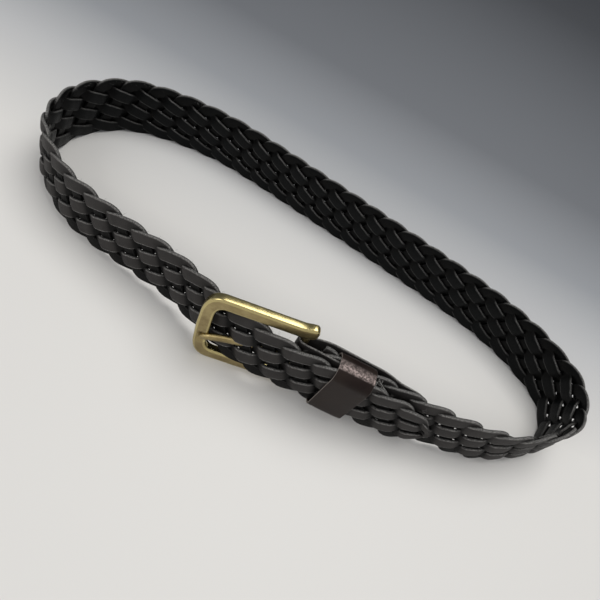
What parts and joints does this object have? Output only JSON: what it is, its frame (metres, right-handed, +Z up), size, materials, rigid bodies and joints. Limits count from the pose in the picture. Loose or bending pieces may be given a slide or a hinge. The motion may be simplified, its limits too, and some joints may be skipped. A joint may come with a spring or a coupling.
{
  "type": "braided leather belt",
  "caption": "Flat woven leather strap buckled into a standing loop, with an open brass heel-bar buckle, its prong, a folded leather tab and a leather keeper.",
  "frame": {"origin": "middle of the belt's box, on the surface that the belt stands on", "axes": "+Z up, +X along the loop's long way and towards the free end's tip, -Y out of the buckle's face"},
  "size_m": [0.3582, 0.1474, 0.053],
  "materials": {
    "braid_leather": "satin dark grey-brown cut strands with slightly paler, fuzzy cut edges",
    "tab_leather": "smooth satin, near black",
    "keeper_leather": "smooth satin brown-black, worn glossy along its top fold, pale cut edges",
    "brass": "brushed satin face with bright worn bevels"
  },
  "bodies": {
    "root": {"braided_strap": "braid_leather", "leather_tab": "tab_leather", "keeper_loop": "keeper_leather", "buckle_frame": "brass", "buckle_prong": "brass"}
  },
  "joints": []
}
